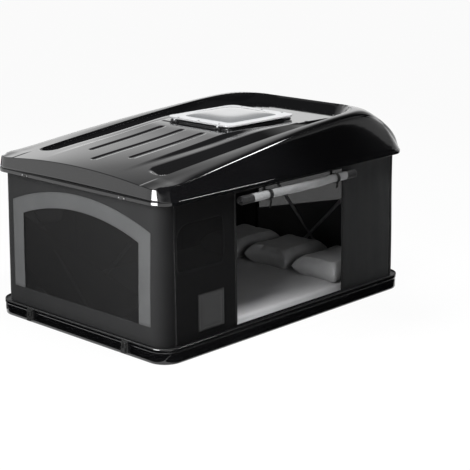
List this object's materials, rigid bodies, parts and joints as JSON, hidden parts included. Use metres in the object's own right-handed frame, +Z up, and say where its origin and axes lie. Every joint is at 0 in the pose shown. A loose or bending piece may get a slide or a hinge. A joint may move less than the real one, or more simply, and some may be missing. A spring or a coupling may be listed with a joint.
{
  "type": "roof top tent",
  "caption": "Hard-shell roof tent whose moulded roof lifts straight up on gas struts over fabric walls with mesh windows, a rolled-up side door and a hinged roof hatch.",
  "frame": {"origin": "middle of the tent's plan, on the underside of the mounting rails", "axes": "+X along the length from the low nose to the high tail, +Y from the near door to the far door, +Z up"},
  "size_m": [2.131, 1.4728, 1.14],
  "materials": {
    "shell": "gloss black laminate",
    "rubber_seal": "matte",
    "aluminium": "satin",
    "rivet": "bright",
    "steel": "zinc plated",
    "floor_board": "plywood",
    "mattress_cover": "woven cover",
    "pillow_cover": "woven cover",
    "bracket": "satin powder coat",
    "latch": "satin black",
    "wall_fabric": "coated canvas",
    "mesh": "fine insect mesh",
    "trim_fabric": "textured canvas",
    "webbing": "woven tape",
    "pocket_fabric": "coated canvas",
    "roll_fabric": "silver coated inner face",
    "frame_plastic": "matte moulded",
    "lid_plastic": "painted grey",
    "dome_plastic": "smoked acrylic",
    "strut_tube": "satin black",
    "strut_rod": "polished"
  },
  "bodies": {
    "base": {"base_tray": "shell", "tray_rim_seal": "rubber_seal", "mount_rail_near": "aluminium", "mount_rail_far": "aluminium", "rail_bolts": "steel", "floor_panel": "floor_board", "mattress": "mattress_cover", "pillow_near": "pillow_cover", "pillow_middle": "pillow_cover", "pillow_far": "pillow_cover", "lower_clamp_rail": "aluminium", "strut_bracket_front": "bracket", "strut_bracket_rear": "bracket", "latch_plates": "latch", "front_wall": "wall_fabric", "rear_wall": "wall_fabric", "near_wall": "wall_fabric", "far_wall": "wall_fabric", "near_rear_panel": "wall_fabric", "far_rear_panel": "wall_fabric", "front_window_mesh": "mesh", "rear_window_mesh": "mesh", "near_window_mesh": "mesh", "far_window_mesh": "mesh", "front_window_trim": "trim_fabric", "rear_window_trim": "trim_fabric", "door_zips": "webbing", "side_pocket": "pocket_fabric", "near_door_roll": "roll_fabric", "far_door": "wall_fabric", "roll_straps": "webbing"},
    "roof": {"roof_shell": "shell", "hatch_pad": "shell", "roof_rim": "shell", "upper_clamp_rail": "aluminium", "strut_bars_front": "aluminium", "strut_bars_rear": "aluminium", "strut_roof_brackets": "bracket", "latch_keepers": "latch", "keeper_rivets": "rivet", "hatch_frame": "frame_plastic", "hatch_gasket": "rubber_seal", "hatch_pins": "steel"},
    "hatch": {"hatch_lid": "lid_plastic", "hatch_dome": "dome_plastic", "hatch_screws": "frame_plastic", "hatch_pull": "frame_plastic"},
    "tube_front_a": {"strut_tube_front_a": "strut_tube"},
    "rod_front_a": {"strut_rod_front_a": "strut_rod"},
    "tube_front_b": {"strut_tube_front_b": "strut_tube"},
    "rod_front_b": {"strut_rod_front_b": "strut_rod"},
    "tube_rear_a": {"strut_tube_rear_a": "strut_tube"},
    "rod_rear_a": {"strut_rod_rear_a": "strut_rod"},
    "tube_rear_b": {"strut_tube_rear_b": "strut_tube"},
    "rod_rear_b": {"strut_rod_rear_b": "strut_rod"},
    "hook_front_near": {"latch_hook_front_near": "latch"},
    "hook_front_far": {"latch_hook_front_far": "latch"},
    "hook_rear_near": {"latch_hook_rear_near": "latch"},
    "hook_rear_far": {"latch_hook_rear_far": "latch"}
  },
  "joints": [
    {"name": "roof_lift", "type": "slide", "parent": "base", "child": "roof", "axis": [0, 0, 1], "range_m": [-0.776, 0], "stiffness_N_per_m": 100, "springref_m": 4, "deforming": ["front_wall", "rear_wall", "near_wall", "far_wall", "near_rear_panel", "far_rear_panel", "front_window_mesh", "rear_window_mesh", "near_window_mesh", "far_window_mesh", "front_window_trim", "rear_window_trim", "door_zips", "side_pocket", "near_door_roll", "far_door", "roll_straps"]},
    {"name": "hatch_hinge", "type": "hinge", "parent": "roof", "child": "hatch", "pos_m": [-0.084, 0, 1.103], "axis": [0, -1, 0], "range_deg": [0, 50]},
    {"name": "strut_pivot_front_a", "type": "hinge", "parent": "base", "child": "tube_front_a", "pos_m": [-0.987, -0.07, 0.15], "axis": [1, 0, 0], "range_deg": [-53.5, 0]},
    {"name": "strut_slide_front_a", "type": "slide", "parent": "tube_front_a", "child": "rod_front_a", "axis": [0, 0.6992, 0.7149], "range_m": [-0.2822, 0]},
    {"name": "strut_pivot_front_b", "type": "hinge", "parent": "base", "child": "tube_front_b", "pos_m": [-0.963, 0.07, 0.15], "axis": [-1, 0, 0], "range_deg": [-53.5, 0]},
    {"name": "strut_slide_front_b", "type": "slide", "parent": "tube_front_b", "child": "rod_front_b", "axis": [0, -0.6992, 0.7149], "range_m": [-0.2822, 0]},
    {"name": "strut_pivot_rear_a", "type": "hinge", "parent": "base", "child": "tube_rear_a", "pos_m": [0.987, -0.07, 0.15], "axis": [1, 0, 0], "range_deg": [-53.5, 0]},
    {"name": "strut_slide_rear_a", "type": "slide", "parent": "tube_rear_a", "child": "rod_rear_a", "axis": [0, 0.6992, 0.7149], "range_m": [-0.2822, 0]},
    {"name": "strut_pivot_rear_b", "type": "hinge", "parent": "base", "child": "tube_rear_b", "pos_m": [0.963, 0.07, 0.15], "axis": [-1, 0, 0], "range_deg": [-53.5, 0]},
    {"name": "strut_slide_rear_b", "type": "slide", "parent": "tube_rear_b", "child": "rod_rear_b", "axis": [0, -0.6992, 0.7149], "range_m": [-0.2822, 0]},
    {"name": "latch_front_near", "type": "hinge", "parent": "base", "child": "hook_front_near", "pos_m": [-1.059, -0.41, 0.07], "axis": [0, 1, 0], "range_deg": [0, 180]},
    {"name": "latch_front_far", "type": "hinge", "parent": "base", "child": "hook_front_far", "pos_m": [-1.059, 0.41, 0.07], "axis": [0, 1, 0], "range_deg": [0, 180]},
    {"name": "latch_rear_near", "type": "hinge", "parent": "base", "child": "hook_rear_near", "pos_m": [1.059, -0.41, 0.07], "axis": [0, -1, 0], "range_deg": [0, 180]},
    {"name": "latch_rear_far", "type": "hinge", "parent": "base", "child": "hook_rear_far", "pos_m": [1.059, 0.41, 0.07], "axis": [0, -1, 0], "range_deg": [0, 180]}
  ],
  "couplings": [
    {"joint": "strut_pivot_front_a", "follows": "roof_lift", "rad_per_m": 1.2003},
    {"joint": "strut_slide_front_a", "follows": "roof_lift", "ratio": 0.36345},
    {"joint": "strut_pivot_front_b", "follows": "roof_lift", "rad_per_m": 1.2003},
    {"joint": "strut_slide_front_b", "follows": "roof_lift", "ratio": 0.36345},
    {"joint": "strut_pivot_rear_a", "follows": "roof_lift", "rad_per_m": 1.2003},
    {"joint": "strut_slide_rear_a", "follows": "roof_lift", "ratio": 0.36345},
    {"joint": "strut_pivot_rear_b", "follows": "roof_lift", "rad_per_m": 1.2003},
    {"joint": "strut_slide_rear_b", "follows": "roof_lift", "ratio": 0.36345}
  ]
}
